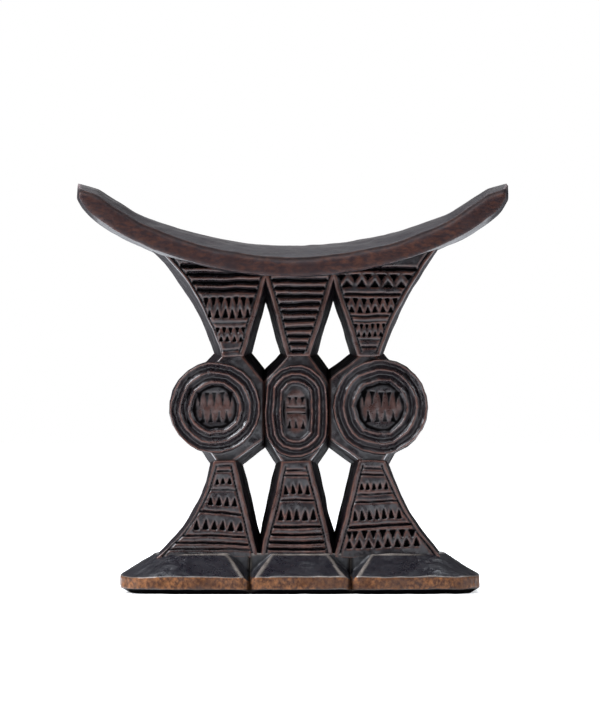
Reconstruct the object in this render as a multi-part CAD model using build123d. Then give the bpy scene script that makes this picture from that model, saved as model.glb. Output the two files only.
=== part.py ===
"""Carved wooden headrest: a curved neck rest on a pierced, relief-carved support and a three-lobed foot.

The real thing is cut from one block of wood. Here each carved member is its own solid, and the members
meet face to face on the lines where the carver changes from one member to the next.

Millimetres. +Z up, +X along the neck rest, the front face looks along -Y. The origin is on the ground,
under the middle of the neck rest.
"""

from build123d import *

import math
import os
from dataclasses import dataclass

# ---- neck rest -------------------------------------------------------------------------------------
REST_LENGTH = 149.6  # tip to tip, at mid depth
REST_DEPTH = 62.0  # front to back
REST_UNDERSIDE_Z = 110.0  # lowest point of the underside
REST_MIDDLE_THICKNESS = 11.4  # at mid depth, in the middle of its length
REST_EDGE_THICKNESS = 6.2  # height of the flat front and back faces
REST_RIDGE_RADIUS = 137.0  # lengthwise curve of the top, at mid depth
REST_EDGE_RADIUS = 127.0  # lengthwise curve of the top, at the front and back edges
REST_UNDERSIDE_RADIUS = 134.0  # lengthwise curve of the underside
REST_BLANK_SHARE = 0.55  # how far the blank reaches to each side before its ends are cut, per length
REST_END_BOW = 1.8  # how much further the tips reach at mid depth than at the edges
REST_END_ROUND = 11.0  # rounding under each tip
TIP_FLAT_LENGTH = 8.5  # flattened patch on top of each tip
TIP_FLAT_SLOPE = 21.0  # its slope, degrees

# ---- levels of the support -------------------------------------------------------------------------
FOOT_TOP_Z = 13.6  # top of the foot, where the lower panels stand
LOWER_NECK_Z = 44.6  # narrow waist under the discs
DISC_Z = 64.6  # centre of the discs
UPPER_NECK_Z = 83.6  # narrow waist above the discs
OUTER_PANEL_REACH = 50.0  # how far out along the rest the outer upper panels reach
REST_END_Z = REST_UNDERSIDE_Z + REST_UNDERSIDE_RADIUS - math.sqrt(
    REST_UNDERSIDE_RADIUS**2 - OUTER_PANEL_REACH**2
)  # height up to which the upper panels are carved

# ---- thickness of the support ----------------------------------------------------------------------
PANEL_THICKNESS = 34.0  # face to face over the carved panels
DISC_THICKNESS = 34.0  # face to face over the discs' rings
PLATE_THICKNESS = 30.0  # face to face over the plates behind the discs
FACE_INSET = 2.3  # how far the sides lean in from mid depth to a panel's face
DISC_LEAN = 1.0  # the same, for a disc's rim
PLATE_LEAN = 3.0  # the same, for the plates' sloping corners

# ---- carving ---------------------------------------------------------------------------------------
CUT_DEPTH = 1.3  # grooves and notches
BORDER_GROOVE = 0.7  # width of the groove inside each panel's raised side border
BORDER_WIDTH = 1.3  # width of that border
FIELD_MARGIN = 0.6  # from the border groove to the ends of a row
TOOTH_PITCH = 3.3  # spacing of the triangular notches
TOOTH_LAND = 0.5  # wood left between two notches
TOOTH_TIP_LAND = 0.4  # wood left between a notch's tip and the next groove
ZIGZAG_LAP = 0.1  # how far a zigzag's notches reach past its middle, per height of the row
LAST_ROW_SHARE = 0.995  # rows that would end beyond this share of a panel are left out
RING_LAND = 1.1  # width of a disc's rings
RING_GROOVE = 1.9  # width of the grooves between a disc's rings
HUB_DEPTH = 1.7  # depth of the hollow in the middle of a disc
HUB_ROW_SHARE = 0.86  # length of a row of lozenges, per width of the hollow
LOZENGE_SHARE = 0.92  # width of a lozenge, per spacing of the row

# ---- foot ------------------------------------------------------------------------------------------
FOOT_LENGTH = 125.5
FOOT_DEPTH = 63.0
FOOT_OFFSET = 2.5  # the foot's centre stands this far to the right of the rest's
FOOT_RIM = 6.0  # height of the upright rim
FOOT_CORNER = 17.0  # corner radius of the rim, seen from above
FOOT_TOP_CORNER = 14.0  # corner radius of the flat top
FOOT_SHELF = 1.6  # flat top left in front of and behind the panels
FOOT_SLOPE_RUN_X = 12.0  # how far the slope runs back from the rim at the two ends
RIM_ROUND = 1.7  # worn roundness of the rim's lower edge
CLEFT_XS = (-15.0, 20.0)  # the clefts between the three lobes
CLEFT_HALF_WIDTH = 7.6  # half width of a cleft at the panels, at the top of the foot
CLEFT_INNER_Z = 7.2  # bottom of a cleft at the panels
CLEFT_RIM_HALF_WIDTH = 2.4  # half width of a cleft at the rim, at the rim's height
CLEFT_OUTER_Z = 4.2  # bottom of a cleft at the rim
CREASE_DEPTH = 1.6  # depth of the crease that each cleft leaves in the rim
CREASE_HALF_WIDTH = 2.8


@dataclass(frozen=True)
class Side:
    """One side of a panel at mid depth: x at the waist, x at the far end, and how much it hollows."""

    neck_x: float
    end_x: float
    hollow: float = 0.0

    def moved(self, inset):
        """The same side moved along X."""
        return Side(self.neck_x + inset, self.end_x + inset, self.hollow)

    def x_at(self, share):
        """X at a share of the way from the waist to the far end."""
        straight = self.neck_x + (self.end_x - self.neck_x) * share
        return straight + self.hollow * 4 * share * (1 - share)


@dataclass(frozen=True)
class Panel:
    """A carved panel between a waist and the rest above or the foot below."""

    name: str
    left: Side
    right: Side
    neck_z: float
    end_z: float
    rows: tuple  # (kind, height) from the waist to the far end

    @property
    def upward(self):
        """1 for a panel above its waist, -1 for one below it."""
        return 1 if self.end_z > self.neck_z else -1

    def share(self, z):
        """How far z lies from the waist to the far end, as a share."""
        return (z - self.neck_z) / (self.end_z - self.neck_z)


@dataclass(frozen=True)
class Disc:
    """A ringed disc, round or oval, on its plate."""

    name: str
    x: float
    z: float
    radius_x: float
    radius_z: float
    rings: tuple  # size of each ring's outer edge, as a share of the disc
    lozenge_rows: tuple  # (height above the disc's centre, number, half height) of each row in the hub


# Row patterns, from the waist outwards. "line" is a groove, "land" is left standing, "teeth" is a row of
# triangular notches, and "zigzag" is two rows of them from both sides, with a zigzag ridge between them.
RIDGED = (("line", 1.8), ("land", 0.9))
UPPER_LEFT_ROWS = (
    (("land", 0.8), ("line", 0.8), ("land", 1.3), ("zigzag", 5.6), ("line", 0.7), ("land", 1.5))
    + (("zigzag", 8.0), ("land", 0.9))
    + RIDGED * 6
)
UPPER_CENTRE_ROWS = (("land", 0.8),) + RIDGED * 10
UPPER_RIGHT_ROWS = (
    (("land", 0.8), ("line", 0.8), ("land", 1.9), ("zigzag", 6.2), ("land", 1.1), ("zigzag", 7.4))
    + (("land", 1.2), ("zigzag", 7.4), ("land", 1.2), ("line", 1.8), ("land", 9.0))
)
LOWER_LEFT_ROWS = (
    (("land", 0.4), ("line", 0.8), ("land", 1.3), ("line", 0.8), ("teeth", 4.0), ("land", 1.2))
    + (("line", 0.9), ("teeth", 4.8), ("land", 1.8), ("line", 0.9), ("teeth", 5.4), ("land", 1.3))
    + (("line", 0.9), ("land", 1.5), ("line", 0.9), ("land", 2.5))
)
LOWER_CENTRE_ROWS = (
    (("land", 1.2), ("line", 0.8), ("land", 1.4), ("line", 0.8), ("teeth", 5.4), ("land", 1.5))
    + (("line", 0.9), ("teeth", 6.2), ("land", 1.6), ("line", 1.0), ("land", 1.7), ("line", 1.0))
    + (("land", 1.6), ("line", 1.1), ("land", 1.5), ("line", 1.0))
)
LOWER_RIGHT_ROWS = (
    (("land", 0.6), ("line", 0.8), ("land", 1.4), ("line", 0.8), ("teeth", 4.8), ("land", 1.2))
    + (("line", 0.8), ("land", 1.5), ("line", 0.8), ("teeth", 5.8), ("land", 1.8), ("line", 0.9))
    + (("teeth", 6.0), ("land", 1.0))
)

UPPER_PANELS = (
    Panel("left_upper_panel", Side(-27.6, -49.4, 2.6), Side(-14.7, -4.2), UPPER_NECK_Z, REST_END_Z,
          UPPER_LEFT_ROWS),
    Panel("centre_upper_panel", Side(-4.5, -14.4), Side(8.6, 19.6), UPPER_NECK_Z, REST_END_Z,
          UPPER_CENTRE_ROWS),
    Panel("right_upper_panel", Side(19.9, 8.9), Side(32.0, 50.8, -1.7), UPPER_NECK_Z, REST_END_Z,
          UPPER_RIGHT_ROWS),
)
LOWER_PANELS = (
    Panel("left_lower_panel", Side(-29.1, -47.6, 3.2), Side(-17.5, -10.0), LOWER_NECK_Z, FOOT_TOP_Z,
          LOWER_LEFT_ROWS),
    Panel("centre_lower_panel", Side(-6.2, -13.2), Side(8.8, 16.2), LOWER_NECK_Z, FOOT_TOP_Z,
          LOWER_CENTRE_ROWS),
    Panel("right_lower_panel", Side(20.4, 12.6), Side(33.8, 51.8, -1.8), LOWER_NECK_Z, FOOT_TOP_Z,
          LOWER_RIGHT_ROWS),
)
DISCS = (
    Disc("left_disc", -26.7, DISC_Z, 16.5, 16.6, (0.94, 0.755, 0.54), ((0.0, 5, 4.4),)),
    Disc("centre_oval", 2.0, DISC_Z - 0.9, 11.9, 17.0, (0.94, 0.755, 0.52),
         ((3.4, 3, 2.6), (-3.6, 3, 2.6))),
    Disc("right_disc", 30.9, DISC_Z, 16.9, 17.0, (0.94, 0.765, 0.56), ((0.0, 5, 4.4),)),
)
NOTCH_DROP = 5.6  # how far below the waist the pierced openings reach, between two discs
PLATE_SHOULDER = 0.6  # half height of the plate's outer side, as a share of the disc's radius


def crossing(first, second):
    """Share of the way from the waist at which one side meets the next panel's side."""
    gap_at_neck = second.neck_x - first.neck_x
    overlap_at_end = first.end_x - second.end_x
    return gap_at_neck / (gap_at_neck + overlap_at_end)


def parting_x(left_panel, right_panel):
    """X of the plane on which two neighbouring panels meet."""
    share = crossing(left_panel.right, right_panel.left)
    return left_panel.right.x_at(share)


def disc_parting_x(left_disc, right_disc):
    """X of the plane on which two neighbouring discs' plates meet, midway between their rims."""
    return (left_disc.x + left_disc.radius_x + right_disc.x - right_disc.radius_x) / 2


def upright_plane(y):
    """The X-Z plane at a depth y, with its own Y axis up."""
    return Plane(origin=(0, y, 0), x_dir=(1, 0, 0), z_dir=(0, -1, 0))


def slab_between(x_low, x_high, z_low, z_high):
    """A box of wood from front to back, to trim a member to its own stretch."""
    depth = 2 * REST_DEPTH
    corner = (x_low, -depth / 2, z_low)
    return Pos(*corner) * Box(x_high - x_low, depth, z_high - z_low, align=(Align.MIN,) * 3)


def both_faces(cutter):
    """A cutter and its mirror image through the middle of the depth."""
    return [cutter, mirror(cutter, about=Plane.XZ)]


# ---- neck rest -------------------------------------------------------------------------------------


def under_rest():
    """Everything below the underside of the rest, wide enough to trim the panels with."""
    reach = REST_LENGTH
    centre_z = REST_UNDERSIDE_Z + REST_UNDERSIDE_RADIUS
    block = slab_between(-reach, reach, -reach, centre_z)
    cylinder = Pos(0, 0, centre_z) * Rot(90, 0, 0) * Cylinder(REST_UNDERSIDE_RADIUS, 3 * REST_DEPTH)
    return block - cylinder


def rest_section(side):
    """A slice of the rest across its depth, with side from -1 at the front to 1 at the back."""
    bulge = 1 - side**2
    thickness = REST_EDGE_THICKNESS + (REST_MIDDLE_THICKNESS - REST_EDGE_THICKNESS) * bulge
    radius = REST_EDGE_RADIUS + (REST_RIDGE_RADIUS - REST_EDGE_RADIUS) * bulge
    reach = REST_LENGTH * REST_BLANK_SHARE
    low_z = REST_UNDERSIDE_Z - REST_MIDDLE_THICKNESS
    top_z = REST_UNDERSIDE_Z + thickness
    end_z = top_z + arc_height(radius, reach)
    outline = Polyline((reach, end_z), (reach, low_z), (-reach, low_z), (-reach, end_z))
    top = ThreePointArc((-reach, end_z), (0, top_z), (reach, end_z))
    return upright_plane(side * REST_DEPTH / 2) * make_face(outline + top)


def arc_height(radius, x):
    """How far an arc of this radius has risen above its lowest point at a distance x from it."""
    return radius - math.sqrt(radius**2 - x**2)


def tip_rounding(sign):
    """What is cut from under one tip, to round it from the underside to the end."""
    arc_centre_z = REST_UNDERSIDE_Z + REST_UNDERSIDE_RADIUS
    x = REST_LENGTH / 2 - REST_END_ROUND
    centre_reach = REST_UNDERSIDE_RADIUS - REST_END_ROUND
    z = arc_centre_z - math.sqrt(centre_reach**2 - x**2)
    reach = 2 * REST_END_ROUND
    touch_x = x + reach * x / centre_reach
    touch_z = z + reach * (z - arc_centre_z) / centre_reach
    corner = Polyline((x, z), (x + reach, z), (x + reach, touch_z), (touch_x, touch_z), close=True)
    wedge = extrude(upright_plane(-REST_DEPTH) * make_face(corner), -2 * REST_DEPTH)
    rounded = wedge - Pos(x, 0, z) * Rot(90, 0, 0) * Cylinder(REST_END_ROUND, 3 * REST_DEPTH)
    return rounded if sign > 0 else mirror(rounded, about=Plane.YZ)


def tip_paring(sign):
    """What is pared off the top of one tip, to leave a flat patch."""
    x = REST_LENGTH / 2 - TIP_FLAT_LENGTH
    z = REST_UNDERSIDE_Z + REST_MIDDLE_THICKNESS + arc_height(REST_RIDGE_RADIUS, x)
    length = 3 * TIP_FLAT_LENGTH
    block = Box(length, 2 * REST_DEPTH, length, align=(Align.MIN, Align.CENTER, Align.MIN))
    paring = Pos(x, 0, z) * Rot(0, -TIP_FLAT_SLOPE, 0) * block
    return paring if sign > 0 else mirror(paring, about=Plane.YZ)


def neck_rest():
    """The curved rest: crowned from front to back, with bowed ends and a flattened patch on each tip."""
    body = loft([rest_section(side) for side in (-1, -0.5, 0, 0.5, 1)])
    body -= under_rest()

    # seen from above, the ends bow outwards
    edge_x = REST_LENGTH / 2 - REST_END_BOW
    half_depth = REST_DEPTH / 2
    right_end = ThreePointArc((edge_x, -half_depth), (REST_LENGTH / 2, 0), (edge_x, half_depth))
    left_end = ThreePointArc((-edge_x, half_depth), (-REST_LENGTH / 2, 0), (-edge_x, -half_depth))
    front = Line((-edge_x, -half_depth), (edge_x, -half_depth))
    back = Line((edge_x, half_depth), (-edge_x, half_depth))
    plan = make_face(front + right_end + back + left_end)
    body &= extrude(plan, 2 * REST_LENGTH)

    for sign in (-1, 1):
        body -= tip_rounding(sign)
        body -= tip_paring(sign)
    return body


# ---- panels ----------------------------------------------------------------------------------------


def panel_face(panel, y, inset):
    """A panel's outline at a depth y, with its sides moved in by inset."""
    left = panel.left.moved(inset)
    right = panel.right.moved(-inset)
    left_neck, left_middle, left_end = side_points(panel, left)
    right_neck, right_middle, right_end = side_points(panel, right)
    edges = Line(left_neck, right_neck) + Line(right_end, left_end)
    edges += side_edge(right_neck, right_middle, right_end, right.hollow)
    edges += side_edge(left_end, left_middle, left_neck, left.hollow)
    return upright_plane(y) * make_face(edges)


def side_points(panel, side):
    """The points of a side at the waist, half way and at the far end."""
    span = panel.end_z - panel.neck_z
    return [(side.x_at(share), panel.neck_z + span * share) for share in (0, 0.5, 1)]


def side_edge(start, middle, end, hollow):
    """A panel's side: an arc where it is hollowed, otherwise straight."""
    if hollow:
        return ThreePointArc(start, middle, end)
    return Line(start, end)


def row_spans(panel):
    """(kind, near z, far z) for each row of carving that fits before the panel's far end."""
    spans, z = [], panel.neck_z
    for kind, height in panel.rows:
        far = z + panel.upward * height
        if panel.share(far) <= LAST_ROW_SHARE:
            spans.append((kind, z, far))
        z = far
    return spans


def field_x(panel, z):
    """Left and right ends of a row of carving at a height z."""
    margin = FACE_INSET + BORDER_WIDTH + BORDER_GROOVE + FIELD_MARGIN
    share = panel.share(z)
    return panel.left.x_at(share) + margin, panel.right.x_at(share) - margin


def line_cut(panel, near, far):
    """A groove across the field."""
    near_left, near_right = field_x(panel, near)
    far_left, far_right = field_x(panel, far)
    return [((near_left, near), (near_right, near), (far_right, far), (far_left, far))]


def teeth_cuts(panel, near, far):
    """A row of triangular notches that stand on their lower edge."""
    low, high = min(near, far), max(near, far) - TOOTH_TIP_LAND
    left, right = field_x(panel, (low + high) / 2)
    count = max(1, round((right - left) / TOOTH_PITCH))
    pitch = (right - left) / count
    half = (pitch - TOOTH_LAND) / 2
    middles = [left + pitch * (i + 0.5) for i in range(count)]
    return [((x - half, low), (x + half, low), (x, high)) for x in middles]


def zigzag_cuts(panel, near, far):
    """Two facing rows of triangular notches, the upper one shifted by half a notch."""
    low, high = min(near, far), max(near, far)
    middle = (low + high) / 2
    reach = (high - low) * ZIGZAG_LAP
    left, right = field_x(panel, middle)
    count = max(2, round((right - left) / TOOTH_PITCH))
    pitch = (right - left) / count
    half = (pitch - TOOTH_LAND) / 2
    cuts = []
    for i in range(count):
        x = left + pitch * (i + 0.5)
        cuts.append(((x - half, low), (x + half, low), (x, middle + reach)))
        if i < count - 1:
            top_x = x + pitch / 2
            cuts.append(((top_x + half, high), (top_x - half, high), (top_x, middle - reach)))
    return cuts


ROW_CUTS = {"line": line_cut, "teeth": teeth_cuts, "zigzag": zigzag_cuts}


def border_cuts(panel):
    """The two grooves that leave a raised border along the panel's sides."""
    strips = []
    for side, sign in ((panel.left, 1), (panel.right, -1)):
        near_edge = FACE_INSET + BORDER_WIDTH
        far_edge = near_edge + BORDER_GROOVE
        shares = [0.0, 0.25, 0.5, 0.75, 1.0]
        span = panel.end_z - panel.neck_z
        outer = [(side.x_at(t) + sign * near_edge, panel.neck_z + span * t) for t in shares]
        inner = [(side.x_at(t) + sign * far_edge, panel.neck_z + span * t) for t in shares]
        strips.append(tuple(outer + inner[::-1]))
    return strips


def carved(solid, outlines, face_y, depth):
    """A solid with outlines cut to a depth into its front and its back face."""
    blade = Sketch() + [make_face(Polyline(*points, close=True)) for points in outlines]
    front = extrude(upright_plane(-face_y) * blade, -depth)
    return solid - both_faces(front)


def carved_panel(panel, x_low, x_high):
    """A panel: leaning sides, raised borders, and rows of carving on both faces."""
    half = PANEL_THICKNESS / 2
    middle = panel_face(panel, 0, 0)
    faces = [panel_face(panel, y, FACE_INSET) for y in (-half, half)]
    body = loft([faces[0], middle], ruled=True) + loft([middle, faces[1]], ruled=True)
    z_low, z_high = sorted((panel.neck_z, panel.end_z))
    body &= slab_between(x_low, x_high, z_low, z_high)
    outlines = border_cuts(panel)
    for kind, near, far in row_spans(panel):
        if kind in ROW_CUTS:
            outlines += ROW_CUTS[kind](panel, near, far)
    return carved(body, outlines, half, CUT_DEPTH)


# ---- discs -----------------------------------------------------------------------------------------


def plate_outline(disc, upper, lower, x_low, x_high, lean):
    """A plate's corners, clockwise from its upper left, with its open corners moved in by lean."""
    shoulder = disc.radius_z * PLATE_SHOULDER
    top, bottom = UPPER_NECK_Z, LOWER_NECK_Z
    notch_top, notch_bottom = top - NOTCH_DROP - lean, bottom + NOTCH_DROP + lean
    if x_low is None:
        outer = disc.x - disc.radius_x * PLATE_SHOULDER + lean
        left_points = [(outer, disc.z - shoulder), (outer, disc.z + shoulder)]
    else:
        left_points = [(x_low, notch_bottom), (x_low, notch_top)]
    if x_high is None:
        outer = disc.x + disc.radius_x * PLATE_SHOULDER - lean
        right_points = [(outer, disc.z + shoulder), (outer, disc.z - shoulder)]
    else:
        right_points = [(x_high, notch_top), (x_high, notch_bottom)]
    above = [(upper.left.neck_x + lean, top), (upper.right.neck_x - lean, top)]
    below = [(lower.right.neck_x - lean, bottom), (lower.left.neck_x + lean, bottom)]
    return left_points + above + right_points + below


def plate(disc, upper, lower, x_low, x_high):
    """The plate behind a disc, which joins it to its neighbours and to both waists."""
    half = PLATE_THICKNESS / 2
    sections = []
    for y, lean in ((-half, PLATE_LEAN), (0, 0), (half, PLATE_LEAN)):
        points = plate_outline(disc, upper, lower, x_low, x_high, lean)
        sections.append(upright_plane(y) * make_face(Polyline(*points, close=True)))
    return loft(sections[:2], ruled=True) + loft(sections[1:], ruled=True)


def ellipse_at(disc, share):
    """The disc's outline at a share of its size."""
    return Pos(disc.x, disc.z) * Ellipse(disc.radius_x * share, disc.radius_z * share)


def disc_body(disc):
    """The disc itself, with its rim leaning in towards both faces."""
    half = DISC_THICKNESS / 2
    share = 1 - DISC_LEAN / disc.radius_x
    front = upright_plane(-half) * ellipse_at(disc, share)
    middle = upright_plane(0) * ellipse_at(disc, 1)
    back = upright_plane(half) * ellipse_at(disc, share)
    return loft([front, middle], ruled=True) + loft([middle, back], ruled=True)


def ring_cuts(disc):
    """The grooves between a disc's rings, as one flat sketch."""
    cuts = Sketch()
    for share in disc.rings[:-1]:
        outer = share - RING_LAND / disc.radius_x
        inner = outer - RING_GROOVE / disc.radius_x
        cuts += ellipse_at(disc, outer) - ellipse_at(disc, inner)
    return cuts


def hub_cut(disc):
    """The hollow in a disc's middle, less the lozenges left standing in it."""
    share = disc.rings[-1] - RING_LAND / disc.radius_x
    hollow = ellipse_at(disc, share)
    for height, count, half_height in disc.lozenge_rows:
        width = 2 * disc.radius_x * share * HUB_ROW_SHARE
        pitch = width / count
        half = pitch * LOZENGE_SHARE / 2
        for i in range(count):
            x = disc.x - width / 2 + pitch * (i + 0.5)
            z = disc.z + height
            points = [(x - half, z), (x, z + half_height), (x + half, z), (x, z - half_height)]
            hollow -= make_face(Polyline(*points, close=True))
    return hollow


def carved_disc(disc, upper, lower, x_low, x_high):
    """A disc on its plate, with its rings and its hub carved on both faces."""
    body = plate(disc, upper, lower, x_low, x_high) + disc_body(disc)
    low = -REST_LENGTH if x_low is None else x_low
    high = REST_LENGTH if x_high is None else x_high
    body &= slab_between(low, high, LOWER_NECK_Z, UPPER_NECK_Z)
    front_face = upright_plane(-DISC_THICKNESS / 2)
    rings = extrude(front_face * ring_cuts(disc), -CUT_DEPTH)
    hub = extrude(front_face * hub_cut(disc), -HUB_DEPTH)
    return body - both_faces(rings) - both_faces(hub)


# ---- foot ------------------------------------------------------------------------------------------


def foot_block():
    """The whole foot before its lobes are parted: an upright rim, then a slope up to the flat top."""
    shelf_depth = PANEL_THICKNESS + 2 * FOOT_SHELF
    rim = RectangleRounded(FOOT_LENGTH, FOOT_DEPTH, FOOT_CORNER)
    top = RectangleRounded(FOOT_LENGTH - 2 * FOOT_SLOPE_RUN_X, shelf_depth, FOOT_TOP_CORNER)
    upright = extrude(rim, FOOT_RIM)
    upright = fillet(upright.faces().sort_by(Axis.Z)[0].edges(), RIM_ROUND)
    slope = loft([Pos(0, 0, FOOT_RIM) * rim, Pos(0, 0, FOOT_TOP_Z) * top], ruled=True)
    return Pos(FOOT_OFFSET, 0, 0) * (upright + slope)


def cleft_section(x, y, half_width, width_z, bottom_z):
    """A V at a depth y that is half_width wide to each side at the height width_z."""
    top_z = 2 * FOOT_TOP_Z
    half = half_width * (top_z - bottom_z) / (width_z - bottom_z)
    corners = Polyline((x - half, top_z), (x, bottom_z), (x + half, top_z), close=True)
    return upright_plane(y) * make_face(corners)


def cleft(x):
    """What is cut between two lobes: a valley that opens from the rim to the panels, and a rim crease."""
    inner = cleft_section(x, -PANEL_THICKNESS / 2, CLEFT_HALF_WIDTH, FOOT_TOP_Z, CLEFT_INNER_Z)
    edge = -FOOT_DEPTH / 2
    outer = cleft_section(x, edge, CLEFT_RIM_HALF_WIDTH, FOOT_RIM, CLEFT_OUTER_Z)
    valley = loft([inner, outer], ruled=True)
    mouth = Polyline(
        (x - CREASE_HALF_WIDTH, edge), (x, edge + CREASE_DEPTH), (x + CREASE_HALF_WIDTH, edge), close=True
    )
    crease = extrude(make_face(mouth), FOOT_RIM)
    return both_faces(valley) + both_faces(crease)


def foot_lobes():
    """The three lobes of the foot, parted on the planes of the clefts."""
    block = foot_block()
    for x in CLEFT_XS:
        block -= cleft(x)
    names = ("left_foot_lobe", "centre_foot_lobe", "right_foot_lobe")
    return {
        name: block & slab_between(low, high, 0, FOOT_TOP_Z)
        for name, (low, high) in zip(names, column_limits(CLEFT_XS))
    }


def column_limits(partings):
    """(low, high) x of each of the three columns, with the outer ones open to the outside."""
    reach = REST_LENGTH
    return [(-reach, partings[0]), (partings[0], partings[1]), (partings[1], reach)]


def members():
    """Every carved member by name."""
    made = {"neck_rest": neck_rest()}
    below_rest = under_rest()
    for panels in (UPPER_PANELS, LOWER_PANELS):
        partings = [parting_x(a, b) for a, b in zip(panels, panels[1:])]
        for panel, (low, high) in zip(panels, column_limits(partings)):
            body = carved_panel(panel, low, high)
            made[panel.name] = body & below_rest if panel.upward > 0 else body
    disc_partings = [disc_parting_x(a, b) for a, b in zip(DISCS, DISCS[1:])]
    limits = [(None, disc_partings[0]), (disc_partings[0], disc_partings[1]), (disc_partings[1], None)]
    for disc, upper, lower, (low, high) in zip(DISCS, UPPER_PANELS, LOWER_PANELS, limits):
        made[disc.name] = carved_disc(disc, upper, lower, low, high)
    made.update(foot_lobes())
    return made


def main():
    """Writes one STEP file per member."""
    os.makedirs("parts", exist_ok=True)
    for name, solid in members().items():
        export_step(solid, f"parts/{name}.step")


if __name__ == "__main__":
    main()
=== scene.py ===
"""Looks of a carved wooden headrest: thirteen members cut from one block of dark, waxed hardwood."""

import logging
import math
import random
from contextlib import contextmanager
from dataclasses import dataclass, field
from enum import Enum
from typing import Callable, Iterator, Sequence

import bmesh
import bpy
import numpy as np
from mathutils import Matrix, Vector


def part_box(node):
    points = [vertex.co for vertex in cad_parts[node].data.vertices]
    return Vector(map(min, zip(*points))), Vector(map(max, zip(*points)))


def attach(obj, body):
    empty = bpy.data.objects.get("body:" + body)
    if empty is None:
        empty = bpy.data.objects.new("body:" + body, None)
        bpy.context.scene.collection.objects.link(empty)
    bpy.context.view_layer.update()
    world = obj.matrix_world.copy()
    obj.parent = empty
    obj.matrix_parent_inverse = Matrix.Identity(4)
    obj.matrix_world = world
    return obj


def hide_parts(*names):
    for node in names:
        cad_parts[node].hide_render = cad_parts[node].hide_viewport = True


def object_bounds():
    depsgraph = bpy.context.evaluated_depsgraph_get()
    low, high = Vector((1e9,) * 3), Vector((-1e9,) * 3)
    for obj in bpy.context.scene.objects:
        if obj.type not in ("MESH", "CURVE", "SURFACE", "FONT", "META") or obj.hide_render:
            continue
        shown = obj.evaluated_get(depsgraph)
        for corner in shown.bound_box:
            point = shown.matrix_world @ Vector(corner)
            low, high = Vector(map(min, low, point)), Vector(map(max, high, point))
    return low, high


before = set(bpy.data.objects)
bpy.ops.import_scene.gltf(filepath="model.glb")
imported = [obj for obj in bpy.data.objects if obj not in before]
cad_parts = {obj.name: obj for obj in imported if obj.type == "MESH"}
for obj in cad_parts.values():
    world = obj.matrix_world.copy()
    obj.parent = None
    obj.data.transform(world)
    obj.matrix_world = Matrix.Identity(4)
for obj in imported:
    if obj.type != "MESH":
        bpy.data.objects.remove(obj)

CAD_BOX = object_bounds()
MM = 0.001
REST_UNDERSIDE = 110.0  # lowest point of the rest's underside, in millimetres above the ground
REST_RADIUS = 134.0  # lengthwise curve of that underside, in millimetres
CRISP_VOXEL = 0.3  # the mesh size, in millimetres, that the rounds below are counted for
NEAR_ROUNDS, NEAR_HEIGHT = 7, 0.055  # rounds of averaging, and full height in millimetres, of a fine ridge
FAR_ROUNDS, FAR_HEIGHT = 90, 0.30  # the same, of a broad one
LOG = logging.getLogger("headrest")
Piece = bpy.types.Object
Socket = bpy.types.NodeSocket


class Stroke(Enum):
    """The cuts that the carver repeats."""

    GROOVE = "groove"
    TEETH = "teeth"
    ZIGZAG = "zigzag"
    LOZENGES = "lozenges"


class Ease(Enum):
    """How far handling has rounded a member's edges, as rounds of smoothing."""

    CRISP = 1
    WORN = 3


@dataclass(frozen=True)
class Row:
    """One row of carving.

    low and high are its edges in millimetres above the ground. tilt is its slope in degrees, and count is
    the number of chips in it.
    """

    stroke: Stroke
    low: float
    high: float
    count: int = 0
    tilt: float = 0.0
    depth: float = 1.5


@dataclass(frozen=True)
class Side:
    """One side of a panel, in millimetres.

    neck_x and end_x are its ends at mid depth, hollow is the depth of its curve, and neck_lean and end_lean
    say how far it leans in from mid depth to the face.
    """

    neck_x: float
    end_x: float
    hollow: float = 0.0
    neck_lean: float = 2.3
    end_lean: float = 2.3


# ---- working with meshes as by hand ----------------------------------------------------------------


def pick(*objects: Piece) -> None:
    """Selects these objects only, and makes the first one active."""
    bpy.ops.object.select_all(action="DESELECT")
    for item in objects:
        item.select_set(True)
    bpy.context.view_layer.objects.active = objects[0]


@contextmanager
def editing(piece: Piece, everything: bool = True) -> Iterator[bmesh.types.BMesh]:
    """Opens a piece in edit mode.

    Args:
        piece: the piece to edit.
        everything: whether all of it starts out selected.

    Returns:
        its edit mesh, for selecting by place.
    """
    pick(piece)
    bpy.ops.object.mode_set(mode="EDIT")
    bpy.ops.mesh.select_mode(type="VERT")
    bpy.ops.mesh.select_all(action="SELECT" if everything else "DESELECT")
    yield bmesh.from_edit_mesh(piece.data)
    bpy.ops.object.mode_set(mode="OBJECT")


def choose(mesh: bmesh.types.BMesh, wanted: Callable[[bmesh.types.BMVert], bool]) -> None:
    """Selects the points of an edit mesh that are wanted, and no others."""
    for vertex in mesh.verts:
        vertex.select = wanted(vertex)
    mesh.select_flush_mode()


def settle(piece: Piece) -> None:
    """Puts a piece's place into its mesh."""
    pick(piece)
    bpy.ops.object.transform_apply(location=True, rotation=True, scale=True)


def joined(pieces: Sequence[Piece]) -> Piece:
    """Joins pieces into the first of them."""
    pick(*pieces)
    if len(pieces) > 1:
        bpy.ops.object.join()
    return pieces[0]


def copied(pattern: Piece, place: Matrix) -> Piece:
    """A copy of a pattern with its own mesh, moved to a place."""
    mesh = pattern.data.copy()
    mesh.transform(place)
    if place.determinant() < 0:
        mesh.flip_normals()
    copy = bpy.data.objects.new(pattern.name, mesh)
    bpy.context.scene.collection.objects.link(copy)
    return copy


def modified(piece: Piece, kind: str, **settings: object) -> None:
    """Adds a modifier to a piece and applies it."""
    pick(piece)
    modifier = piece.modifiers.new(kind.lower(), kind)
    for name, value in settings.items():
        setattr(modifier, name, value)
    bpy.ops.object.modifier_apply(modifier=modifier.name)


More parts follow.
